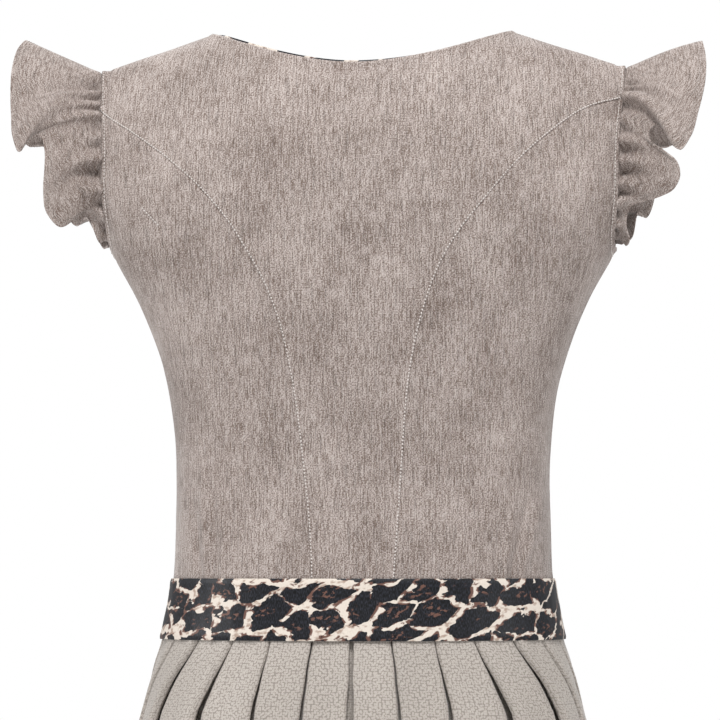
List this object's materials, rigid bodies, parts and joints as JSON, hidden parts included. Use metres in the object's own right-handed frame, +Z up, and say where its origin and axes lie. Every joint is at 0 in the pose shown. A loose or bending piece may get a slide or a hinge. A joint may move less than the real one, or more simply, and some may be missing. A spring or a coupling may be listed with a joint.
{
  "type": "dirndl",
  "caption": "Worn-shape dirndl with princess-seamed bodice, ruffled cap sleeves, knife-pleated skirt, gathered apron and spotted satin waist tie with a bow.",
  "frame": {"origin": "midway between the shoulder seams, where the wearer's shoulders carry it", "axes": "+Z up along the body, the front faces -Y, +X towards the wearer's left"},
  "size_m": [0.625, 0.5337, 1.1052],
  "materials": {
    "chenille": "heathered taupe chenille with upright slubs, matt and velvety",
    "jacquard": "beige-grey jacquard with a tiny figure and a soft sheen",
    "spotted_satin": "satin printed with charcoal and rust animal spots on cream"
  },
  "bodies": {
    "root": {"back_centre": "chenille", "back_side_left": "chenille", "back_side_right": "chenille", "front_centre_left": "chenille", "front_centre_right": "chenille", "front_side_left": "chenille", "front_side_right": "chenille", "neck_facing": "spotted_satin", "ruffle_left": "chenille", "ruffle_right": "chenille", "skirt_back": "jacquard", "skirt_front": "jacquard", "band_back": "spotted_satin", "band_front": "spotted_satin", "apron": "spotted_satin", "bow_knot": "spotted_satin", "bow_loop_left": "spotted_satin", "bow_loop_right": "spotted_satin", "bow_tail_left": "spotted_satin", "bow_tail_right": "spotted_satin"}
  },
  "joints": []
}
